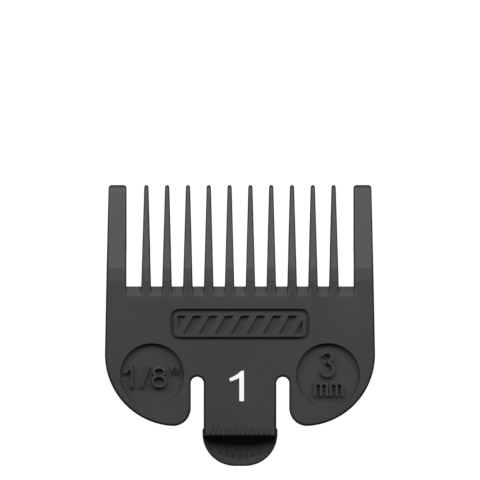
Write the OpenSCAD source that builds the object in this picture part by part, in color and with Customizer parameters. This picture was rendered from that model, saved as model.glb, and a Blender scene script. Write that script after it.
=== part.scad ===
// Guard comb for a hair clipper, size 1: it holds the blade about 3 mm off the skin.
// Millimetres. +Y points to the tooth tips and +Z to the skin side; z = 0 is the feet of the side rails.
// The real comb is one moulding: here each functional feature is a solid that meets its neighbours face to face.

/* [Blade] */
// Width of the clipper blade that the comb clips onto
blade_w = 46; // [45:0.5:46]
// Thickness of that blade at its heel
blade_t = 3; // [2.5:0.1:3.2]
// Play left round the blade on every side
blade_play = 0.2; // [0.1:0.05:0.3]

/* [Plate] */
// Half the width of the plate at its shoulders
shoulder_x = 24.6; // [24.4:0.1:25]
// Half the width over the two end teeth, at their tips
tip_x = 24; // [23.9:0.05:24.2]
// How far the comb holds the blade off the skin
cut_length = 3.2; // [3:0.1:4]
// Thickness of the plate
plate_t = 2; // [1.6:0.1:2.2]
// Height of the blade seat over the feet of the rails
seat_z = 4.4; // [4.2:0.1:4.8]
// Radius of the rounded rear of each wing
wing_r = 13.04; // [12.8:0.02:13.2]
// Radius of each wing's corner beside the release tab
wing_corner_r = 3.23; // [2.5:0.01:3.4]
// Radius of the round pads that carry the size marks
pad_r = 5.7; // [5.4:0.1:5.9]
// Depth of those pads
sunk = 1.1; // [0.6:0.1:1.2]
// Depth of the striped band
band_depth = 0.8; // [0.3:0.1:1]

/* [Teeth] */
// Number of fine teeth between the two end teeth
tooth_count = 10; // [10:1:10]
// Distance from one fine tooth to the next
tooth_pitch = 3.8; // [3.7:0.05:3.85]
// Width of a fine tooth at its root
tooth_root_w = 1.75; // [1.4:0.05:1.9]
// Width of a fine tooth at its tip
tooth_tip_w = 0.77; // [0.6:0.01:1]
// Slope of the teeth's upper edge
tooth_slope = 10.5; // [9:0.5:11]
// Half the height of the teeth's oval noses
nose_h = 0.9; // [0.8:0.05:1]
// Length of those noses
nose_l = 2.3; // [1.6:0.1:2.5]

/* [Release tab] */
// Half the width of the release tab
tab_x = 6.62; // [6:0.01:6.7]
// Width of the slot on each side of the tab
slot_w = 2.35; // [2:0.05:2.5]
// Thickness of the tab where it bends
web_t = 1.2; // [1:0.1:1.4]
// Length of the tab that bends
web_len = 3.3; // [2.5:0.1:3.5]
// How far the catch's nose reaches under the blade's heel
catch_reach = 0.9; // [0.6:0.1:1]
// Radius of the finger lip's rounded end
lip_r = 6; // [5.8:0.05:6.2]
// Radius of the trough that the fingertip rests in
dish_r = 12; // [10:0.5:16]
// Upward tilt of that trough towards its end
dish_tilt = 5; // [0:1:8]

/* [Hidden] */
$fn = 96;
tooth_names = [for (i = [1 : tooth_count]) str("tooth_", i < 10 ? "0" : "", i)];

nylon = "#3b3b3a";
ink = "white";

// heights
top_z = seat_z + cut_length;
under_z = top_z - plate_t;

// lengths along the comb
tip_y = 25.7;                  // tooth tips
step_y = 13.3;                 // where the blade's own tips butt against the teeth
plate_y = 7.2;                 // front edge of the plate
bevel_y = 5.4;                 // where that edge starts to slope down between the teeth
rib_y = -3;                    // rear end of the seat ribs under the plate
shoulder_y = -5.2;             // widest place of the plate
web_y = -10.6;                 // where the tab starts to bend
arm_y = web_y - web_len;       // where the tab is stiff again
catch_y = -18.9;               // front face of the catch, behind the blade's heel
arm_end_y = -20.2;             // rear end of the tab's flat top
lip_y = -19.7;                 // centre of the lip's rounded end

// plan of the plate
wing_x = shoulder_x - wing_r;
slot_r = slot_w / 2;
slot_x = tab_x + slot_r;
slot_y = -10.45;
corner_x = tab_x + slot_w + wing_corner_r;
corner_y = shoulder_y - sqrt(pow(wing_r - wing_corner_r, 2) - pow(corner_x - wing_x, 2));
corner_turn = atan2(corner_y - shoulder_y, corner_x - wing_x);
pad_x = 16;
pad_y = -8.95;
bevel_drop = 1.2;
band_w = 25.3;
band_h = 5.8;
band_y = 0.25;
band_corner = 1.6;
band_line = 0.7;               // width of the frame's groove
band_gap = 0.55;               // land between the frame and the stripes
stripe_w = 1.5;
stripe_pitch = 2.9;
stripe_count = 9;
stripe_lean = 1.7;
pin_mark_depth = 0.15;         // witness marks of the mould's ejector pins, under the plate
gate_h = 0.25;                 // stub left where the plastic came in

// teeth and the walls under them
tooth_flat_y = 8.3;            // end of the flat top
slope_y = 10.5;                // start of the long slope
slope_drop = 0.19;
slope = tan(tooth_slope);
nose_y = tip_y - nose_l;
nose_z = top_z - slope_drop - (nose_y - slope_y) * slope - sqrt(pow(nose_h, 2) + pow(nose_l * slope, 2));
nose_turn = atan(nose_h / (nose_l * slope));
foot_z = nose_z - nose_h;      // underside of the teeth
tooth_edge_w = 0.3;            // rounding of a tooth's upper edges: across and down
tooth_edge_h = 0.45;
end_tooth_x = 20.72;
end_tooth_corner = 0.55;
rail_x = blade_w / 2 + blade_play;
rail_front_y = 15;
rail_toe = 4;                  // length of the slope at the front of each rail's foot
hook_x = 21.2;
hook_y = 12;
hook_z = 2.2;
hook_t = 1;
hook_bevel = 0.4;
flange_t = 1;
flange_end_y = -11.5;

// release tab
catch_x = 6.85;
catch_z = 0.3;
nose_half_w = 4;
nose_top_z = seat_z - blade_t;
nose_tip_t = 0.25;
lip_flat = catch_x - 6;        // half the straight stretch of the lip's end
dish_z = 2.6;                  // lowest point of the trough, at the catch
lip_t = 1.5;

// raised marks
mark_h = 1;
ink_t = 0.03;
release_rib_w = 0.34;
release_rib_len = 1.9;
release_rib_y = -18.9;
release_rib_h = 0.2;
grip_rib_w = 0.42;
grip_rib_h = 0.3;

function half_width(y) = shoulder_x - (shoulder_x - tip_x) * (y - shoulder_y) / (tip_y - shoulder_y);
function arc(c, rx, ry, a, b, n) =
    [for (i = [0 : n]) let (t = a + (b - a) * i / n) [c[0] + rx * cos(t), c[1] + ry * sin(t)]];
function reversed(p) = [for (i = [len(p) - 1 : -1 : 0]) p[i]];
function mirrored(p) = [for (i = [len(p) - 1 : -1 : 0]) [-p[i][0], p[i][1]]];
function bow(a, m, b, n) =
    [for (i = [0 : n]) let (t = i / n) (1 - t) * (1 - t) * a + 2 * t * (1 - t) * m + t * t * b];

// ---------- helpers ----------

// A side profile, given as (y, z) points, w wide and centred on x = 0
module across(points, w) {
    rotate([90, 0, 90]) translate([0, 0, -w / 2]) linear_extrude(w) polygon(points);
}

// A closed shape standing between two heights
module upright(z0, z1) {
    translate([0, 0, z0]) linear_extrude(z1 - z0) children();
}

module rounded_bar(w, h, r) {
    square([w - 2 * r, h], center = true);
    square([w, h - 2 * r], center = true);
    for (x = [-1, 1], y = [-1, 1]) translate([x * (w / 2 - r), y * (h / 2 - r)]) circle(r);
}

// A straight pen stroke with square ends
module stroke(a, b, w) {
    d = b - a;
    translate(a) rotate(atan2(d[1], d[0])) translate([0, -w / 2]) square([norm(d), w]);
}

// A pen stroke along part of an ellipse; rx and ry are those of its outer edge
module curved_stroke(c, rx, ry, a, b, w, n = 24) {
    polygon(concat(arc(c, rx, ry, a, b, n), arc(c, rx - w, ry - w, b, a, n)));
}

module ring(c, rx, ry, w) {
    difference() {
        polygon(arc(c, rx, ry, 0, 352.5, 47));
        polygon(arc(c, rx - w, ry - w, 0, 352.5, 47));
    }
}

// ---------- plate ----------

half_outline = concat(
    [[half_width(plate_y), plate_y]],
    arc([wing_x, shoulder_y], wing_r, wing_r, 0, corner_turn, 36),
    arc([corner_x, corner_y], wing_corner_r, wing_corner_r, corner_turn - 5, -180, 18),
    arc([slot_x, slot_y], slot_r, slot_r, 0, 180, 18),
    [[tab_x, web_y]]
);

// Between two teeth the plate's front edge slopes down, and the teeth's edges are rounded beside the slope
module gap_bevel(x0, x1) {
    far = plate_y + 1;
    far_z = top_z - bevel_drop * (far - bevel_y) / (plate_y - bevel_y);
    round_z = top_z - tooth_edge_h;
    gap = concat(
        [[x0 - tooth_edge_w, top_z + 1]],
        arc([x0 - tooth_edge_w, round_z], tooth_edge_w, tooth_edge_h, 90, 0, 5),
        [[x0, under_z], [x1, under_z]],
        arc([x1 + tooth_edge_w, round_z], tooth_edge_w, tooth_edge_h, 180, 90, 5),
        [[x1 + tooth_edge_w, top_z + 1]]
    );
    intersection() {
        translate([0, far, 0]) rotate([90, 0, 0]) linear_extrude(far - bevel_y + 1) polygon(gap);
        translate([(x0 + x1) / 2, 0, 0])
            across([[bevel_y, top_z], [far, far_z], [far, top_z + 1], [bevel_y, top_z + 1]], x1 - x0 + 2);
    }
}

module pin_mark(p, r) {
    translate([p[0], p[1], under_z - 1]) cylinder(r = r, h = 1 + pin_mark_depth);
}

// Diagonal stripes in a rounded frame, as on a barber's pole
module striped_band() {
    inner_w = band_w - 2 * band_line;
    inner_h = band_h - 2 * band_line;
    difference() {
        rounded_bar(band_w, band_h, band_corner);
        rounded_bar(inner_w, inner_h, band_corner - band_line);
    }
    intersection() {
        rounded_bar(inner_w - 2 * band_gap, inner_h - 2 * band_gap, 0.35);
        for (i = [0 : stripe_count - 1])
            translate([(i - (stripe_count - 1) / 2) * stripe_pitch, 0])
                polygon([
                    [-stripe_lean - stripe_w / 2, -band_h / 2],
                    [-stripe_lean + stripe_w / 2, -band_h / 2],
                    [stripe_lean + stripe_w / 2, band_h / 2],
                    [stripe_lean - stripe_w / 2, band_h / 2]
                ]);
    }
}

module base_plate() {
    color(nylon) {
        plate_without_gate();
        translate([0, -7.6, under_z - gate_h]) cylinder(r = 0.7, h = gate_h);
    }
}

module plate_without_gate() {
    difference() {
        upright(under_z, top_z) polygon(concat(half_outline, mirrored(half_outline)));
        for (p = [[-11.4, 1], [0, 1], [11.4, 1]]) pin_mark(p, 0.8);
        for (x = [-14, 14]) pin_mark([x, -12.5], 1.5);
        for (i = [0 : tooth_count - 2])
            gap_bevel(tooth_x(i) + tooth_root_w / 2, tooth_x(i + 1) - tooth_root_w / 2);
        for (s = [0, 1]) mirror([s, 0, 0])
            gap_bevel(tooth_x(tooth_count - 1) + tooth_root_w / 2, end_tooth_x);
        for (s = [-1, 1]) translate([s * pad_x, pad_y, top_z - sunk]) cylinder(r = pad_r, h = sunk + 1);
        translate([0, band_y, 0]) upright(top_z - band_depth, top_z + 1) striped_band();
    }
}

// ---------- teeth ----------

function tooth_x(i) = (i - (tooth_count - 1) / 2) * tooth_pitch;

// Side profile shared by all the teeth: the comb tooth, its step for the blade and its rib under the plate
tooth_profile = concat(
    [[plate_y, under_z], [plate_y, top_z], [tooth_flat_y, top_z], [slope_y, top_z - slope_drop]],
    arc([nose_y, nose_z], nose_l, nose_h, nose_turn, -90, 16),
    [[step_y + 0.2, foot_z], [step_y, seat_z], [rib_y, seat_z], [rib_y - under_z + seat_z, under_z]]
);

module fine_tooth(i) {
    root = tooth_root_w / 2;
    tip = tooth_tip_w / 2;
    plan = concat(
        [[root, rib_y - 3], [root, plate_y]],
        arc([0, tip_y - tip], tip, tip, 0, 180, 12),
        [[-root, plate_y], [-root, rib_y - 3]]
    );
    color(nylon) translate([tooth_x(i), 0, 0]) intersection() {
        across(tooth_profile, 2 * tooth_root_w);
        upright(0, top_z + 1) polygon(plan);
    }
}

module outer_tooth() {
    c = end_tooth_corner;
    tip_out = half_width(tip_y);
    plan = concat(
        [[end_tooth_x, rib_y - 3], [half_width(rib_y - 3), rib_y - 3]],
        arc([tip_out - c, tip_y - c], c, c, 0, 90, 6),
        arc([end_tooth_x + c, tip_y - c], c, c, 90, 180, 6)
    );
    color(nylon) difference() {
        intersection() {
            translate([end_tooth_x + 2, 0, 0]) across(tooth_profile, 8);
            upright(0, top_z + 1) polygon(plan);
        }
        translate([rail_x, rib_y - 5, 0]) cube([5, rail_front_y - rib_y + 5, under_z]);
    }
}

module front_hook() {
    profile = [
        [rail_front_y, foot_z], [step_y + 0.2, foot_z], [step_y + 0.2, hook_z + hook_t],
        [hook_y + hook_bevel, hook_z + hook_t], [hook_y, hook_z + hook_t - hook_bevel],
        [hook_y, hook_z], [rail_front_y - 0.8, hook_z]
    ];
    w = rail_x - hook_x;
    color(nylon) translate([hook_x + w / 2, 0, 0]) across(profile, w);
}

// ---------- walls under the plate ----------

module side_rail() {
    color(nylon) intersection() {
        upright(0, under_z) polygon([
            [rail_x, shoulder_y], [shoulder_x, shoulder_y],
            [half_width(rail_front_y), rail_front_y], [rail_x, rail_front_y]
        ]);
        translate([rail_x, 0, 0]) across([
            [shoulder_y, 0], [rail_front_y - rail_toe, 0],
            [rail_front_y, foot_z], [rail_front_y, under_z], [shoulder_y, under_z]
        ], 6);
    }
}

module wing_flange() {
    outer = concat(
        arc([wing_x, shoulder_y], wing_r, wing_r, 0, corner_turn, 36),
        arc([corner_x, corner_y], wing_corner_r, wing_corner_r, corner_turn - 5, -180, 18),
        [[corner_x - wing_corner_r, flange_end_y]]
    );
    inner = concat(
        arc([wing_x, shoulder_y], wing_r - flange_t, wing_r - flange_t, 0, corner_turn, 36),
        arc([corner_x, corner_y], wing_corner_r - flange_t, wing_corner_r - flange_t, corner_turn - 5, -180, 18),
        [[corner_x - wing_corner_r + flange_t, flange_end_y]]
    );
    color(nylon) upright(seat_z, under_z) polygon(concat(outer, reversed(inner)));
}

// ---------- size marks ----------

module size_mark_inch() {
    color(nylon) upright(top_z - sunk, top_z - sunk + mark_h) {
        // 1
        stroke([-19.68, -11.25], [-19.68, -7.15], 0.55);
        stroke([-21.05, -8.6], [-19.6, -7.4], 0.5);
        // /
        stroke([-17.95, -11.25], [-16.5, -7.25], 0.43);
        // 8
        ring([-14.72, -8.38], 1.25, 1, 0.5);
        ring([-14.72, -10.05], 1.42, 1.25, 0.52);
        // inch marks
        for (x = [-12.32, -11.32])
            polygon([[x - 0.14, -8.7], [x + 0.14, -8.7], [x + 0.28, -7.3], [x - 0.28, -7.3]]);
    }
}

module size_mark_metric() {
    leg_w = 0.4;
    color(nylon) upright(top_z - sunk, top_z - sunk + mark_h) {
        // 3
        curved_stroke([15.82, -5.62], 1.12, 1.06, 175, -80, 0.44);
        curved_stroke([15.86, -7.85], 1.34, 1.44, 85, -175, 0.46);
        stroke([15.5, -6.62], [16.1, -6.62], 0.44);
        // mm
        for (x = [13.47, 16.3]) {
            for (k = [0 : 2]) stroke([x + leg_w / 2 + k * 1.07, -12.75], [x + leg_w / 2 + k * 1.07, -10.85], leg_w);
            stroke([x + leg_w / 2, -10.9], [x + leg_w / 2, -10.2], leg_w);
            for (k = [0 : 1])
                curved_stroke([x + leg_w / 2 + (k + 0.5) * 1.07, -10.9], 1.07 / 2 + leg_w / 2, 0.7, 0, 180, leg_w, 12);
        }
    }
}

// White printed 1: it bends with the tab, because it lies across the place that bends
module size_numeral() {
    stem_l = -0.12;
    stem_r = 0.71;
    foot_y = -13.66;
    head_y = -8.12;
    r = 0.1;
    color(ink) upright(top_z, top_z + ink_t) polygon(concat(
        arc([stem_r - r, foot_y + r], r, r, -90, 0, 4),
        arc([stem_r - r, head_y - r], r, r, 0, 90, 4),
        bow([0.3, head_y], [-0.8, -9.08], [-1.9, -9.5], 10),
        [[-1.93, -9.6], [-1.78, -9.98], [-1.68, -10.05], [stem_l, -9.43]],
        arc([stem_l + r, foot_y + r], r, r, 180, 270, 4)
    ));
}

// ---------- release tab ----------

module flexing_web() {
    color(nylon) upright(top_z - web_t, top_z)
        translate([-tab_x, arm_y]) square([2 * tab_x, web_len]);
}

module release_arm() {
    color(nylon) across([
        [arm_y, top_z], [arm_y, top_z - web_t], [arm_y - 0.8, under_z], [arm_end_y, under_z], [arm_end_y, top_z]
    ], 2 * tab_x);
}

module heel_catch() {
    color(nylon) {
        across([
            [catch_y, under_z], [catch_y, catch_z + 0.3], [catch_y - 0.3, catch_z],
            [arm_end_y + 0.3, catch_z], [arm_end_y, catch_z + 0.3], [arm_end_y, under_z]
        ], 2 * catch_x);
        // the nose slopes both ways, so that it snaps on and slides off again
        across([
            [catch_y, nose_top_z], [catch_y + catch_reach, nose_top_z - catch_reach + nose_tip_t],
            [catch_y + catch_reach, nose_top_z - catch_reach], [catch_y, catch_z + 0.3]
        ], 2 * nose_half_w);
    }
}

module lip_plan() {
    polygon(concat(
        arc([lip_flat, lip_y], lip_r, lip_r, asin((arm_end_y - lip_y) / lip_r), -90, 24),
        arc([-lip_flat, lip_y], lip_r, lip_r, -90, -180 - asin((arm_end_y - lip_y) / lip_r), 24)
    ));
}

// The trough runs along Y and rises a little towards the lip's end
module dish(r) {
    translate([0, arm_end_y, dish_z]) rotate([-dish_tilt, 0, 0]) translate([0, 0, dish_r])
        rotate([90, 0, 0]) cylinder(r = r, h = 20, center = true);
}

module finger_lip() {
    color(nylon) intersection() {
        upright(0, under_z) lip_plan();
        difference() {
            dish(dish_r + lip_t);
            dish(dish_r);
        }
    }
}

module release_ribs() {
    color(nylon) for (i = [-6 : 6])
        translate([i * 0.88, release_rib_y, top_z]) upright(0, release_rib_h)
            square([release_rib_w, release_rib_len], center = true);
}

module grip_ribs() {
    color(nylon) difference() {
        intersection() {
            dish(dish_r);
            for (i = [-3 : 3])
                translate([i * 1.15, -22.8 + 0.04 * i * i, 0])
                    upright(0, under_z) square([grip_rib_w, 2.8 - 0.1 * i * i], center = true);
        }
        dish(dish_r - grip_rib_h);
    }
}

base_plate();
mirror([1, 0, 0]) outer_tooth();  // outer_tooth_left
outer_tooth();  // outer_tooth_right
for (i = [0 : tooth_count - 1]) fine_tooth(i);
mirror([1, 0, 0]) front_hook();  // front_hook_left
front_hook();  // front_hook_right
mirror([1, 0, 0]) side_rail();  // side_rail_left
side_rail();  // side_rail_right
mirror([1, 0, 0]) wing_flange();  // wing_flange_left
wing_flange();  // wing_flange_right
size_mark_inch();
size_mark_metric();
flexing_web();
size_numeral();
release_arm();
heel_catch();
finger_lip();
release_ribs();
grip_ribs();
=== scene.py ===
# %% [markdown]
# # A clip-on guard comb for a hair clipper
# The comb is one moulding in black nylon with a white number printed on it. The CAD model splits it into
# its working features: plate, teeth, walls for the blade and a tab that bends to let the blade go.
# Here each feature becomes a finished piece with softened edges, and neighbours meet without a step, so
# that the whole reads as one moulding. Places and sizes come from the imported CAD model, in metres.

# %% Load the frame
import math

import bmesh
import bpy
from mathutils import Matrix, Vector


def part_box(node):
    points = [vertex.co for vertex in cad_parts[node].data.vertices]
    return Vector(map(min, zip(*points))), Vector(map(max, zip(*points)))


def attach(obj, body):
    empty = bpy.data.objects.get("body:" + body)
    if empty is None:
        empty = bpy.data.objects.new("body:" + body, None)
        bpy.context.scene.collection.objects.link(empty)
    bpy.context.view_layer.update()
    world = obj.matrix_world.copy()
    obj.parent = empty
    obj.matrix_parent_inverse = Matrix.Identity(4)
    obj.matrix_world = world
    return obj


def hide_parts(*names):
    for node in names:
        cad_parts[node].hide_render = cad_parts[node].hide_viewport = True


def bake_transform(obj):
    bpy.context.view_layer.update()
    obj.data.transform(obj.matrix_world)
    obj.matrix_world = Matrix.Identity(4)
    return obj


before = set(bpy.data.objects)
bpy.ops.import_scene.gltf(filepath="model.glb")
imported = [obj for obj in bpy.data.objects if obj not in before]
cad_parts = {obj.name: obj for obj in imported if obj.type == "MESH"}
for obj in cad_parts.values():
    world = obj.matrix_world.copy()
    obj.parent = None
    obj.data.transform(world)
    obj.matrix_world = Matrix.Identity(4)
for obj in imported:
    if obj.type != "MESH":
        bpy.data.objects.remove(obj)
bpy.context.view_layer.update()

# %% [markdown]
# ## Levels and lines that the pieces share
# A moulding is designed on a few planes: the plate's top and underside, the seat for the blade, the feet.
# Reading them off the CAD boxes once keeps every piece on the same planes.

# %% Shared planes
MM = 0.001
plate_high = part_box("base_plate")[1]
web_low, web_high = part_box("flexing_web")
top = plate_high.z
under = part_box("side_rail_left")[1].z
front = plate_high.y                      # the plate's edge between the teeth
root = web_high.y                         # where the tab starts to bend
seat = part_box("wing_flange_left")[0].z
print(f"plate from {under / MM:.2f} to {top / MM:.2f} mm high, blade seat at {seat / MM:.2f} mm")

# %% [markdown]
# ## Black nylon
# Comb plastic is a plain grey-black, but it is never one flat colour. The melt leaves faint cloudy flow
# marks, the mould's spark-eroded skin leaves a grain of about a tenth of a millimetre, and handling
# polishes the highest grains. Three noises at three scales give that: a wide one for colour, a middle one
# for roughness and a fine one for bump. All read Object coordinates, so they run on across the joints
# between pieces.

# %% Nylon
GRAIN = 9000          # grains per metre
FLOW = 90             # flow marks per metre
POLISH = 0.03         # how far handling changes the roughness
NYLON_DARK = (0.036, 0.036, 0.035, 1)
NYLON_LIGHT = (0.044, 0.044, 0.042, 1)


def add_node(tree, kind, **values):
    """A shader node with some of its inputs or settings filled in."""
    node = tree.nodes.new(kind)
    for key, value in values.items():
        if key in node.inputs:
            node.inputs[key].default_value = value
        else:
            setattr(node, key, value)
    return node


def noise(tree, coords, scale, detail=3.0):
    node = add_node(tree, "ShaderNodeTexNoise", Scale=scale, Detail=detail)
    tree.links.new(coords.outputs["Object"], node.inputs["Vector"])
    return node


def new_material(name):
    material = bpy.data.materials.new(name)
    material.use_nodes = True
    tree = material.node_tree
    return material, tree, tree.nodes["Principled BSDF"]


def ramp(tree, source, low, high):
    """Maps a noise's middle range onto a colour or a roughness."""
    node = tree.nodes.new("ShaderNodeValToRGB")
    node.color_ramp.elements[0].position = 0.35
    node.color_ramp.elements[1].position = 0.65
    node.color_ramp.elements[0].color = low
    node.color_ramp.elements[1].color = high
    tree.links.new(source.outputs["Fac"], node.inputs["Fac"])
    return node


def moulded_plastic(name, dark, light, rough, grain_depth):
    material, tree, shader = new_material(name)
    coords = tree.nodes.new("ShaderNodeTexCoord")
    flow = ramp(tree, noise(tree, coords, FLOW), dark, light)
    tree.links.new(flow.outputs["Color"], shader.inputs["Base Color"])
    dull, polished = rough + POLISH, rough - POLISH
    polish = ramp(tree, noise(tree, coords, FLOW * 12), (polished,) * 3 + (1,), (dull,) * 3 + (1,))
    tree.links.new(polish.outputs["Color"], shader.inputs["Roughness"])
    bump = add_node(tree, "ShaderNodeBump", Strength=0.35, Distance=grain_depth)
    tree.links.new(noise(tree, coords, GRAIN, 2.0).outputs["Fac"], bump.inputs["Height"])
    tree.links.new(bump.outputs["Normal"], shader.inputs["Normal"])
    return material


nylon = moulded_plastic("black nylon", NYLON_DARK, NYLON_LIGHT, 0.5, 0.02 * MM)
print("material:", nylon.name)

# %% [markdown]
# ## White ink
# The number is printed by a soft pad, so its film is thin, dense and slightly eggshell, with a few
# lighter and greyer patches where the pad let go. A weak glow is painted light: it makes the ink
# brighter than the lamps alone would light it.

# %% Ink
INK_PATCHES = 1500    # per metre


def pad_ink_with_painted_glow():
    material, tree, shader = new_material("white ink with painted glow")
    coords = tree.nodes.new("ShaderNodeTexCoord")
    patches = ramp(tree, noise(tree, coords, INK_PATCHES), (0.92, 0.92, 0.91, 1), (0.97, 0.97, 0.97, 1))
    tree.links.new(patches.outputs["Color"], shader.inputs["Base Color"])
    shader.inputs["Roughness"].default_value = 0.55
    # painted light: a weak glow makes the ink brighter than the lamps alone light it
    shader.inputs["Emission Color"].default_value = (1, 1, 1, 1)
    shader.inputs["Emission Strength"].default_value = 0.15
    bump = add_node(tree, "ShaderNodeBump", Strength=0.2, Distance=0.01 * MM)
    tree.links.new(patches.outputs["Color"], bump.inputs["Height"])
    tree.links.new(bump.outputs["Normal"], shader.inputs["Normal"])
    return material


ink = pad_ink_with_painted_glow()
print("material:", ink.name)

# %% [markdown]
# ## Helpers for moulded pieces
# Most pieces start as a copy of their CAD solid, and then their free upper edges are softened. A mould's
# edge isn't a plain quarter circle: the walls lean a little so that the part lets go, and the polisher
# rounds the corner, so the edge falls away further down than it reaches across. A bevel stretched
# downwards gives that. Edges on a plane where two pieces meet stay sharp, so that one piece's
# softened edge runs straight into the next one's.

# %% Helpers
SMALL = 0.004 * MM
SHARP = math.radians(40)


def near(a, b):
    return abs(a - b) < SMALL


def on(edge, axis, value):
    """True if both ends of the edge lie at this value of x, y or z (axis 0, 1 or 2)."""
    return all(near(v.co[axis], value) for v in edge.verts)


def cad_copy(node):
    """The CAD solid as a clean bmesh: triangles welded, and flat areas made into single faces."""
    bm = bmesh.new()
    bm.from_mesh(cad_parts[node].data)
    bmesh.ops.remove_doubles(bm, verts=bm.verts, dist=0.001 * MM)
    bmesh.ops.dissolve_limit(bm, angle_limit=math.radians(0.4), verts=bm.verts, edges=bm.edges)
    return bm


def soften(bm, across, down, chosen, segments=6, least=25):
    """Rounds the chosen outward edges, this far across and this far down."""
    edges = [
        e for e in bm.edges
        if len(e.link_faces) == 2 and e.is_convex and e.calc_face_angle() > math.radians(least) and chosen(e)
    ]
    level = max(v.co.z for e in edges for v in e.verts)
    made = bmesh.ops.bevel(
        bm, geom=edges, offset=across, offset_type="OFFSET", affect="EDGES",
        segments=segments, profile=0.5, material=-1, clamp_overlap=True, loop_slide=False,
    )
    if down != across:
        for v in made["verts"]:
            v.co.z = level - (level - v.co.z) * down / across
    return len(edges)


def finish_piece(bm, name, body, material, *nodes):
    """Makes the bmesh an object at the origin, smooth except at sharp corners, that rides on its body."""
    bmesh.ops.recalc_face_normals(bm, faces=bm.faces)
    for face in bm.faces:
        face.smooth = True
    for edge in bm.edges:
        if len(edge.link_faces) == 2 and edge.calc_face_angle() > SHARP:
            edge.smooth = False
    mesh = bpy.data.meshes.new(name)
    bm.to_mesh(mesh)
    bm.free()
    mesh.materials.append(material)
    piece = bpy.data.objects.new(name, mesh)
    bpy.context.scene.collection.objects.link(piece)
    weighted = piece.modifiers.new("flat faces stay flat", "WEIGHTED_NORMAL")
    weighted.keep_sharp = True
    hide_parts(*nodes)
    if body:
        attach(piece, body)
    return piece


def mirrored(bm):
    """Turns a right-hand piece into its left-hand twin."""
    bmesh.ops.scale(bm, vec=(-1, 1, 1), verts=bm.verts)
    bmesh.ops.reverse_faces(bm, faces=bm.faces)
    return bm


def faces_of(geom):
    return [g for g in geom if isinstance(g, bmesh.types.BMFace)]


def verts_of(geom):
    return [g for g in geom if isinstance(g, bmesh.types.BMVert)]


# %% [markdown]
# ## The plate
# The plate is all plan shape: an outline of arcs, two sunk pads, a striped band and the slots beside the
# tab. The CAD solid has that exactly, with the slopes between the teeth and the teeth's rounded roots
# beside them, so a copy of it only needs its outer edge and the rims of its recesses softened.

# %% Plate
EDGE = (0.5 * MM, 1.0 * MM)          # the moulding's outer edge: across and down
RIM = (0.15 * MM, 0.7 * MM)          # rims of the pads
GROOVE = (0.08 * MM, 0.2 * MM)       # edges of the striped band
BAND_Y = (-3.5 * MM, 3.5 * MM)       # the band lies between these
SLOPE_BACK = 5.4 * MM                # where the slopes between the teeth start


def at_recess(edge):
    """True for an edge of the plate's top that doesn't belong to a wall reaching the underside."""
    walls = [f for f in edge.link_faces if abs(f.normal.z) < 0.1]
    return not any(min(v.co.z for v in f.verts) < under + SMALL for f in walls)


def on_band(edge):
    return all(BAND_Y[0] < v.co.y < BAND_Y[1] and abs(v.co.x) < 14 * MM for v in edge.verts)


def make_plate():
    bm = cad_copy("base_plate")

    def upper(edge):
        joint = on(edge, 1, front) or on(edge, 1, root)
        return on(edge, 2, top) and not joint and max(v.co.y for v in edge.verts) < front + SMALL

    def outer(edge):
        return upper(edge) and not at_recess(edge)

    def band(edge):
        return upper(edge) and on_band(edge)

    def pad(edge):
        return upper(edge) and not on_band(edge) and max(v.co.y for v in edge.verts) < -3 * MM

    for edge in bm.edges:
        edge.smooth = not on(edge, 1, SLOPE_BACK)
    counts = [soften(bm, *EDGE, outer)]
    counts.append(soften(bm, *GROOVE, band, segments=2, least=60))
    counts.append(soften(bm, *RIM, pad, segments=3, least=60))
    print("softened edges: outline, band, pads:", counts)
    return finish_piece(bm, "plate", "comb", nylon, "base_plate")


plate = make_plate()

# %% [markdown]
# ## Tooth shape
# A tooth is a long blade on edge: flat by the plate, then sloping down to an oval nose. Below it has a
# step for the clipper blade's tips, and behind the step a rib runs back under the plate. The heights
# along the tooth are functions of y, and both kinds of tooth use them.

# %% Heights along a tooth
SLOPE = math.tan(math.radians(10.5))
FLAT_END = 8.3 * MM
SLOPE_START = 10.5 * MM
SLOPE_DROP = 0.19 * MM
STEP = 13.3 * MM
STEP_LEAN = 0.2 * MM
RIB_END = -3 * MM
NOSE_L = 2.3 * MM
NOSE_H = 0.9 * MM
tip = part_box("tooth_05")[1].y
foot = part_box("tooth_05")[0].z
nose_y = tip - NOSE_L
nose_z = foot + NOSE_H
nose_from = nose_y + NOSE_L * math.cos(math.atan(NOSE_H / (NOSE_L * SLOPE)))


def nose_half(y):
    """Half the nose's height."""
    return NOSE_H * math.sqrt(max(0.0, 1 - ((y - nose_y) / NOSE_L) ** 2))


def tooth_top(y):
    if y > nose_from:
        return nose_z + nose_half(y)
    if y > SLOPE_START:
        return top - SLOPE_DROP - (y - SLOPE_START) * SLOPE
    return top - SLOPE_DROP * max(0.0, y - FLAT_END) / (SLOPE_START - FLAT_END)


def tooth_foot(y):
    if y > nose_y:
        return nose_z - nose_half(y)
    return foot if y > STEP + SMALL else seat


NOSE_STEPS = 14
nose_stations = [nose_y + NOSE_L * math.sin(math.pi / 2 * i / NOSE_STEPS) for i in range(NOSE_STEPS + 1)]
stations = [front, FLAT_END, SLOPE_START, STEP, STEP + STEP_LEAN, 18 * MM, 21 * MM] + nose_stations
print(f"nose from {nose_from / MM:.2f} to {tip / MM:.2f} mm, foot at {foot / MM:.2f} mm")

# %% [markdown]
# ## The fine teeth
# A tooth could be a profile pushed sideways and tapered, but its edges have to stay evenly soft while it
# gets narrower, and its tip is round both from above and from the side. So it is lofted: one section is
# drawn at the root and extruded from station to station, and each time its corners are placed afresh.
# The sections shrink to a point at the tip, where the doubles are merged.

# %% Lofting
TOOTH_EDGE = (0.3 * MM, 0.45 * MM)    # a tooth's upper edges: across and down
FOOT_EDGE = 0.15 * MM                 # its lower edges
ROUND = 0.97                          # the most of a tooth's half width that a rounding may take


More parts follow.
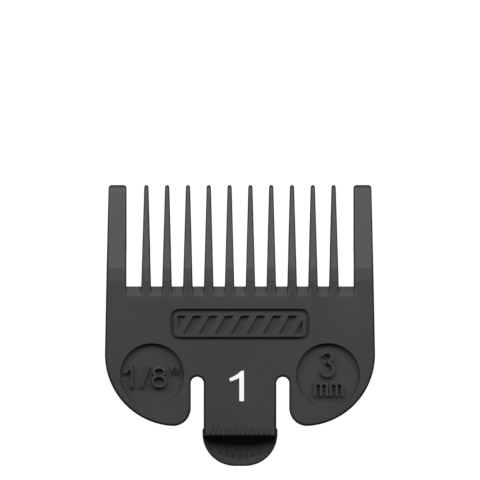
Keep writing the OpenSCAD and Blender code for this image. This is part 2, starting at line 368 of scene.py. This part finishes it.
def corner(x, z, across, down, start, steps):
    """Points through a quarter turn round a centre, starting at an angle in degrees."""
    turns = [math.radians(start + 90 * i / steps) for i in range(steps + 1)]
    return [(x + across * math.cos(t), z + down * math.sin(t)) for t in turns]


def upper_corner(x, z, edge, side, half, tall):
    """The rounded corner at the top of a section; side is 1 on its right and -1 on its left."""
    across, down = min(edge[0], ROUND * half), min(edge[1], ROUND * tall)
    return corner(x - side * across, z - down, across, down, 0 if side > 0 else 90, 5)


def lower_corner(x, z, side, half, tall):
    radius = min(FOOT_EDGE, ROUND * half, ROUND * tall)
    return corner(x - side * radius, z + radius, radius, radius, 270 if side > 0 else 180, 2)


def loft(bm, rings):
    """Extrudes the first ring of points along the others into a closed solid, and returns its start."""
    start = bm.faces.new([bm.verts.new(p) for p in rings[0]])
    end = start
    places = {v: i for i, v in enumerate(start.verts)}
    for points in rings[1:]:
        end = faces_of(bmesh.ops.extrude_face_region(bm, geom=[end])["geom"])[0]
        moved = {}
        for v in end.verts:
            behind = next(e.other_vert(v) for e in v.link_edges if e.other_vert(v) in places)
            moved[v] = places[behind]
        places = moved
        for v, place in places.items():
            v.co = points[place]
    return start


def add_rib(bm, start):
    """Cuts the root's section at the plate's underside and extrudes the lower part back as a rib."""
    geom = [start] + list(start.edges) + list(start.verts)
    bmesh.ops.bisect_plane(bm, geom=geom, dist=1e-7, plane_co=(0, 0, under), plane_no=(0, 0, 1))
    lower = [f for f in bm.faces if all(near(v.co.y, front) and v.co.z < under + SMALL for v in f.verts)]
    ends = verts_of(bmesh.ops.extrude_face_region(bm, geom=lower)["geom"])
    for v in ends:
        v.co.y = RIB_END - max(0.0, v.co.z - seat)


def finish_tooth(bm, name, *nodes):
    for edge in bm.edges:
        edge.smooth = not (on(edge, 1, FLAT_END) or on(edge, 1, SLOPE_START))
    bmesh.ops.remove_doubles(bm, verts=bm.verts, dist=0.002 * MM)
    return finish_piece(bm, name, "comb", nylon, *nodes)


# %% Fine teeth
TIP_HALF = 0.385 * MM


def make_tooth(name):
    low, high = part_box(name)
    middle, root_half = (low.x + high.x) / 2, (high.x - low.x) / 2
    rings = []
    for y in stations:
        half = root_half + (TIP_HALF - root_half) * (y - front) / (tip - front)
        if y > tip - TIP_HALF:
            half = math.sqrt(max(0.0, TIP_HALF ** 2 - (y - tip + TIP_HALF) ** 2))
        z0, z1 = tooth_foot(y), tooth_top(y)
        tall = (z1 - z0) / 2
        ring = lower_corner(half, z0, 1, half, tall) + upper_corner(half, z1, TOOTH_EDGE, 1, half, tall)
        ring += upper_corner(-half, z1, TOOTH_EDGE, -1, half, tall) + lower_corner(-half, z0, -1, half, tall)
        rings.append([(middle + x, y, z) for x, z in ring])
    bm = bmesh.new()
    add_rib(bm, loft(bm, rings))
    return finish_tooth(bm, name.replace("tooth", "fine_tooth"), name)


teeth = [make_tooth(n) for n in sorted(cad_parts) if n.startswith("tooth_")]
print(len(teeth), "fine teeth, faces each:", len(teeth[0].data.polygons))

# %% [markdown]
# ## The end teeth
# The end teeth are wide, and their outer side carries on the plate's tapering outline. As far as the
# side rail reaches, the section has a notch in its lower outer corner for the rail; beyond it the
# section is whole. The notch's three points move to the rounded corner at the rail's front end.

# %% End teeth
rail_low, rail_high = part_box("side_rail_right")
end_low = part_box("outer_tooth_right")[0]
shoulder = rail_low.y
rail_end = rail_high.y
WIDEST = plate_high.x
TIP_WIDE = 24 * MM
PLAN_R = 0.55 * MM                    # corners of the end teeth, from above


def outline_x(y):
    """Half the comb's width where its sides taper towards the tips."""
    return WIDEST - (WIDEST - TIP_WIDE) * (y - shoulder) / (tip - shoulder)


def plan_corner(y):
    """How far a side of an end tooth is drawn in at its rounded corner."""
    past = max(0.0, y - (tip - PLAN_R))
    return PLAN_R - math.sqrt(max(0.0, PLAN_R ** 2 - past ** 2))


def end_ring(y, notched):
    x0, x1 = end_low.x + plan_corner(y), outline_x(y) - plan_corner(y)
    z0, z1 = tooth_foot(y), tooth_top(y)
    half, tall = (x1 - x0) / 2, (z1 - z0) / 2
    share = (y - front) / (tip - front)
    outer_edge = [a + (b - a) * share for a, b in zip(EDGE, TOOTH_EDGE)]
    notch = [(rail_low.x, z0), (rail_low.x, under), (x1, under)]
    ring = notch if notched else lower_corner(x1, z0, 1, half, tall)
    ring = ring + upper_corner(x1, z1, outer_edge, 1, half, tall)
    ring += upper_corner(x0, z1, TOOTH_EDGE, -1, half, tall) + lower_corner(x0, z0, -1, half, tall)
    return [(x, y, z) for x, z in ring]


def make_end_tooth(name, left):
    before = [y for y in stations if y < rail_end] + [rail_end]
    after = [rail_end] + [y for y in stations if y > rail_end]
    bm = bmesh.new()
    add_rib(bm, loft(bm, [end_ring(y, True) for y in before] + [end_ring(y, False) for y in after]))
    if left:
        mirrored(bm)
    return finish_tooth(bm, name.replace("outer", "end"), name)


end_teeth = [make_end_tooth("outer_tooth_right", False), make_end_tooth("outer_tooth_left", True)]
print("end teeth:", [len(t.data.polygons) for t in end_teeth], "faces")

# %% [markdown]
# ## Walls for the blade
# Under the plate, two side rails embrace the blade, and a small hook at the front of each holds the
# blade's corner down. They are simple profiles pushed sideways. The wings' flanges follow the plate's
# round outline, so they are spun: a small section turned about the wing's centre and then about its
# corner, which is how such a rib is cut into a mould.

# %% Rails and hooks
RAIL_TOE = 4 * MM
FOOT_R = 0.3 * MM
HOOK_R = 0.12 * MM


def make_rail(name, left):
    ring = [(shoulder, 0), (rail_end - RAIL_TOE, 0), (rail_end, foot), (rail_end, under), (shoulder, under)]
    bm = bmesh.new()
    face = bm.faces.new([bm.verts.new((rail_low.x, y, z)) for y, z in ring])
    for v in verts_of(bmesh.ops.extrude_face_region(bm, geom=[face])["geom"]):
        v.co.x = outline_x(v.co.y)
    bmesh.ops.recalc_face_normals(bm, faces=bm.faces)

    def foot_edge(edge):
        return all(v.co.z < foot + SMALL for v in edge.verts) and not on(edge, 1, rail_end)

    soften(bm, FOOT_R, FOOT_R, foot_edge, segments=4)
    if left:
        mirrored(bm)
    return finish_piece(bm, name, "comb", nylon, name)


def make_hook(name, left):
    bm = cad_copy("front_hook_right")
    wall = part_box("front_hook_right")[1].x

    def free(edge):
        return not on(edge, 0, wall) and not on(edge, 2, foot) and not on(edge, 1, rail_end)

    soften(bm, HOOK_R, HOOK_R, free, segments=3)
    if left:
        mirrored(bm)
    return finish_piece(bm, name, "comb", nylon, name)


rails = [make_rail("side_rail_" + side, side == "left") for side in ("right", "left")]
hooks = [make_hook("front_hook_" + side, side == "left") for side in ("right", "left")]
print("rails and hooks:", [p.name for p in rails + hooks])

# %% Wing flanges
WING_R = 13.04 * MM
CORNER_R = 3.23 * MM
FLANGE_T = 1 * MM
FLANGE_END = -11.5 * MM
FLANGE_R = 0.2 * MM


def make_flange(name, left):
    wing = Vector((WIDEST - WING_R, shoulder, 0))
    corner_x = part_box("wing_flange_right")[0].x + CORNER_R
    corner_y = shoulder - math.sqrt((WING_R - CORNER_R) ** 2 - (corner_x - wing.x) ** 2)
    turn = math.atan2(corner_y - wing.y, corner_x - wing.x)
    inside = WIDEST - FLANGE_T
    bm = bmesh.new()
    ring = [(WIDEST, seat), (WIDEST, under), (inside, under), (inside, seat)]
    start = bm.faces.new([bm.verts.new((x, shoulder, z)) for x, z in ring])
    up = (0, 0, 1)
    made = bmesh.ops.spin(bm, geom=[start], cent=wing, axis=up, angle=turn, steps=36)
    half_way = faces_of(made["geom_last"])
    made = bmesh.ops.spin(
        bm, geom=half_way, cent=(corner_x, corner_y, 0), axis=up, angle=-math.pi - turn, steps=24
    )
    last = faces_of(made["geom_last"])
    ends = verts_of(bmesh.ops.extrude_face_region(bm, geom=last)["geom"])
    bmesh.ops.translate(bm, vec=(0, FLANGE_END - corner_y, 0), verts=ends)
    inner = [f for f in bm.faces if all(len(e.link_faces) > 2 for e in f.edges)]
    bmesh.ops.delete(bm, geom=inner, context="FACES")
    bmesh.ops.recalc_face_normals(bm, faces=bm.faces)
    soften(bm, FLANGE_R, FLANGE_R, lambda e: on(e, 2, seat), segments=3, least=60)
    if left:
        mirrored(bm)
    return finish_piece(bm, name, "comb", nylon, name)


flanges = [make_flange("wing_flange_" + side, side == "left") for side in ("right", "left")]
print("flange faces:", len(flanges[0].data.polygons))

# %% [markdown]
# ## Size marks
# The raised 1/8 inch and 3 mm marks stand in the sunk pads. They are cut into the mould with a tapered
# cutter, so their sides lean and only a narrow ridge is flat: the CAD strokes get that same lean.

# %% Size marks
MARK_EDGE = (0.2 * MM, 0.6 * MM)


def make_mark(name):
    bm = cad_copy(name)
    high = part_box(name)[1].z
    soften(bm, *MARK_EDGE, lambda e: on(e, 2, high), segments=4)
    return finish_piece(bm, name, "comb", nylon, name)


marks = [make_mark(n) for n in ("size_mark_inch", "size_mark_metric")]
print("marks:", [len(m.data.polygons) for m in marks], "faces")

# %% [markdown]
# ## The web that bends, and the number printed across it
# The tab works because its root is thin: the nylon bends there, as a hinge without a pin. The web is a
# plain strip, cut into narrow bands that a bend could follow smoothly, and the printed number is cut at
# the same places, so that in a bend the ink would stay on the plastic. Both are left straight here.

# %% Web and numeral
BANDS = 16


def cut_into_bands(bm):
    """Cuts the mesh across at even steps over the length that bends."""
    for i in range(BANDS + 1):
        y = web_high.y + (web_low.y - web_high.y) * i / BANDS
        geom = bm.verts[:] + bm.edges[:] + bm.faces[:]
        bmesh.ops.bisect_plane(bm, geom=geom, dist=1e-7, plane_co=(0, y, 0), plane_no=(0, 1, 0))


def bend_with_tab(piece):
    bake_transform(piece)


def block(low, high):
    """A closed box between two corners."""
    bm = bmesh.new()
    bmesh.ops.create_cube(bm, size=1)
    bmesh.ops.scale(bm, vec=high - low, verts=bm.verts)
    bmesh.ops.translate(bm, vec=(low + high) / 2, verts=bm.verts)
    return bm


def make_web():
    bm = block(web_low, web_high)
    soften(bm, *EDGE, lambda e: on(e, 2, top) and near(e.verts[0].co.x, e.verts[1].co.x))
    cut_into_bands(bm)
    piece = finish_piece(bm, "web", None, nylon, "flexing_web")
    bend_with_tab(piece)
    return piece


def make_numeral():
    bm = cad_copy("size_numeral")
    cut_into_bands(bm)
    piece = finish_piece(bm, "printed_numeral", None, ink, "size_numeral")
    bend_with_tab(piece)
    return piece


web = make_web()
numeral = make_numeral()
print("web:", len(web.data.polygons), "faces; numeral:", len(numeral.data.polygons))

# %% [markdown]
# ## The stiff part of the tab and its catch
# Behind the web the tab is full thickness again, and ends in a step. Below the step a wall drops behind
# the blade's heel, with a nose that snaps under it.

# %% Arm and catch
CATCH_R = 0.12 * MM
catch_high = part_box("heel_catch")[1]


def make_arm():
    bm = cad_copy("release_arm")
    soften(bm, *EDGE, lambda e: on(e, 2, top) and not on(e, 1, web_low.y))
    return finish_piece(bm, "tab_arm", "release_lever", nylon, "release_arm")


def make_catch():
    bm = cad_copy("heel_catch")
    soften(bm, CATCH_R, CATCH_R, lambda e: not on(e, 2, catch_high.z), segments=3, least=40)
    return finish_piece(bm, "catch", "release_lever", nylon, "heel_catch")


arm = make_arm()
catch = make_catch()
print("arm and catch:", len(arm.data.polygons), len(catch.data.polygons), "faces")

# %% [markdown]
# ## The finger lip
# A spoon-shaped lip: its plan is a half round, and a shallow trough along it, rising a little towards its
# end, takes a fingertip. A half disc of quads is spun from one line, stretched to the lip's plan and
# dropped onto the trough. Then it gets its thickness and a round rim.

# %% Lip
TROUGH_R = 12 * MM
TROUGH_LOW = 2.6 * MM
TROUGH_TILT = math.radians(5)
LIP_T = 1.5 * MM
LIP_R = 6 * MM
RIM_R = 0.4 * MM
RINGS = 10
SECTORS = 56
lip_low, lip_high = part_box("finger_lip")
lip_centre_y = lip_low.y + LIP_R
lip_flat = lip_high.x - math.sqrt(LIP_R ** 2 - (lip_high.y - lip_centre_y) ** 2)


def lip_reach(angle):
    """Distance from the middle of the lip's straight edge to its rim, in this direction."""
    dx, dy = abs(math.cos(angle)), math.sin(angle)
    cx, cy = lip_flat, lip_centre_y - lip_high.y
    along = dx * cx + dy * cy
    reach = along + math.sqrt(along ** 2 - cx ** 2 - cy ** 2 + LIP_R ** 2)
    straight = (cy - LIP_R) / dy if dy < 0 else reach
    return straight if dx * straight < cx else reach


def trough(x, y, depth):
    """Height of the trough's surface, or of the one this far under it."""
    rise = TROUGH_R - math.sqrt((TROUGH_R + depth) ** 2 - x ** 2)
    return TROUGH_LOW + (lip_high.y - y) * math.tan(TROUGH_TILT) + rise / math.cos(TROUGH_TILT)


def make_lip():
    bm = bmesh.new()
    line = [bm.verts.new((i / RINGS, 0, 0)) for i in range(RINGS + 1)]
    edges = [bm.edges.new(pair) for pair in zip(line, line[1:])]
    bmesh.ops.spin(bm, geom=edges, cent=(0, 0, 0), axis=(0, 0, 1), angle=-math.pi, steps=SECTORS)
    bmesh.ops.remove_doubles(bm, verts=bm.verts, dist=1e-5)
    for v in bm.verts:
        angle = math.atan2(v.co.y, v.co.x)
        reach = lip_reach(angle) * v.co.length
        v.co.x, v.co.y = reach * math.cos(angle), lip_high.y + reach * math.sin(angle)
        v.co.z = trough(v.co.x, v.co.y, 0)
    made = bmesh.ops.extrude_face_region(bm, geom=bm.faces[:], use_keep_orig=True)["geom"]
    for v in verts_of(made):
        v.co.z = trough(v.co.x, v.co.y, LIP_T)
    bmesh.ops.recalc_face_normals(bm, faces=bm.faces)

    def rim(edge):
        return not on(edge, 1, lip_high.y) and any(abs(f.normal.z) < 0.3 for f in edge.link_faces)

    n = soften(bm, RIM_R, RIM_R, rim, segments=5, least=50)
    print("rim edges:", n)
    return finish_piece(bm, "lip", "release_lever", nylon, "finger_lip")


lip = make_lip()
print("lip:", len(lip.data.polygons), "faces, end", round(trough(0, lip_low.y, 0) / MM, 2), "mm high")

# %% [markdown]
# ## Grip ribs
# A row of fine ribs on the end of the tab and another in the trough keep a wet finger from slipping.

# %% Ribs
RIB_EDGE = (0.1 * MM, 0.16 * MM)
GRIP_R = 0.12 * MM


def make_tab_ribs():
    bm = cad_copy("release_ribs")
    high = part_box("release_ribs")[1].z
    soften(bm, *RIB_EDGE, lambda e: on(e, 2, high), segments=3)
    return finish_piece(bm, "tab_ribs", "release_lever", nylon, "release_ribs")


def make_grip_ribs():
    bm = cad_copy("grip_ribs")
    soften(bm, GRIP_R, GRIP_R, lambda e: any(f.normal.z > 0.7 for f in e.link_faces), segments=3, least=50)
    return finish_piece(bm, "lip_ribs", "release_lever", nylon, "grip_ribs")


ribs = [make_tab_ribs(), make_grip_ribs()]
print("ribs:", [r.name for r in ribs])

# %% [markdown]
# ## Floor, light and camera
# Small black goods are shown on glowing white. The floor is a sheet of light that only the camera sees,
# so it puts no glow on the comb's edges and they stay dark; from below it is clear, as a glass table is.
# One large soft light hangs beyond the tooth tips, and the sloping teeth catch it more than the flat
# plate does. A weak card under the glass shows the walls and the underside, and lights nothing that
# faces up. The room is dim for the comb and white for the camera, so a view from below is on white too.

# %% Floor
def make_floor():
    bm = bmesh.new()
    bmesh.ops.create_grid(bm, x_segments=1, y_segments=1, size=4)
    bmesh.ops.translate(bm, vec=(0, 0, -0.05 * MM), verts=bm.verts)
    mesh = bpy.data.meshes.new("floor")
    bm.to_mesh(mesh)
    bm.free()
    floor = bpy.data.objects.new("floor", mesh)
    bpy.context.scene.collection.objects.link(floor)
    material = bpy.data.materials.new("glowing white")
    material.use_nodes = True
    tree = material.node_tree
    tree.nodes.clear()
    glow = add_node(tree, "ShaderNodeEmission", Color=(1, 1, 1, 1), Strength=1.05)
    clear = add_node(tree, "ShaderNodeBsdfTransparent")
    side = tree.nodes.new("ShaderNodeNewGeometry")
    mix = tree.nodes.new("ShaderNodeMixShader")
    output = tree.nodes.new("ShaderNodeOutputMaterial")
    tree.links.new(side.outputs["Backfacing"], mix.inputs[0])
    tree.links.new(glow.outputs["Emission"], mix.inputs[1])
    tree.links.new(clear.outputs["BSDF"], mix.inputs[2])
    tree.links.new(mix.outputs["Shader"], output.inputs["Surface"])
    mesh.materials.append(material)
    floor.visible_diffuse = False
    floor.visible_glossy = False
    floor.visible_shadow = False
    return floor


floor = make_floor()

# %% Light
def soft_light(name, place, size, power):
    """A soft rectangular light aimed at the origin."""
    light = bpy.data.lights.new(name, "AREA")
    light.shape = "RECTANGLE"
    light.size, light.size_y = size
    light.energy = power
    lamp = bpy.data.objects.new(name, light)
    lamp.location = place
    lamp.rotation_euler = (-Vector(place)).to_track_quat("-Z", "Y").to_euler()
    bpy.context.scene.collection.objects.link(lamp)
    return lamp


KEY_LEAN = math.radians(38)
KEY_FAR = 0.38
KEY_SIZE = (1.0, 0.26)
KEY_POWER = 2.85
CARD_POWER = 1.2
FILL_POWER = 0.14
DIM_ROOM = 0.02        # light from all round
key = soft_light("key", (0, KEY_FAR * math.sin(KEY_LEAN), KEY_FAR * math.cos(KEY_LEAN)), KEY_SIZE, KEY_POWER)
card = soft_light("card", (0, 0, -0.4), (0.4, 0.4), CARD_POWER)
fill = soft_light("fill", (0, 0, 0.5), (0.3, 0.3), FILL_POWER)
for lamp in (card, fill):
    lamp.visible_glossy = False
world = bpy.data.worlds.new("studio")
world.use_nodes = True
backdrop = world.node_tree.nodes["Background"]
backdrop.inputs["Color"].default_value = (1, 1, 1, 1)
paths = world.node_tree.nodes.new("ShaderNodeLightPath")
seen = add_node(world.node_tree, "ShaderNodeMapRange")
seen.inputs["To Min"].default_value = DIM_ROOM
seen.inputs["To Max"].default_value = 1.05
world.node_tree.links.new(paths.outputs["Is Camera Ray"], seen.inputs["Value"])
world.node_tree.links.new(seen.outputs["Result"], backdrop.inputs["Strength"])
bpy.context.scene.world = world
bpy.context.scene.view_settings.view_transform = "Standard"
print("lights:", key.name, card.name, fill.name)

# %% Camera
VIEW_WIDTH = 87.27 * MM
CAMERA_UP = 800 * MM
VIEW_Y = 15.65 * MM
camera_data = bpy.data.cameras.new("camera")
camera_data.sensor_width = 36
camera_data.lens = camera_data.sensor_width * CAMERA_UP / VIEW_WIDTH
camera = bpy.data.objects.new("camera", camera_data)
camera.location = (0, VIEW_Y, top + CAMERA_UP)
bpy.context.scene.collection.objects.link(camera)
bpy.context.scene.camera = camera
print(f"lens {camera_data.lens:.1f} mm")
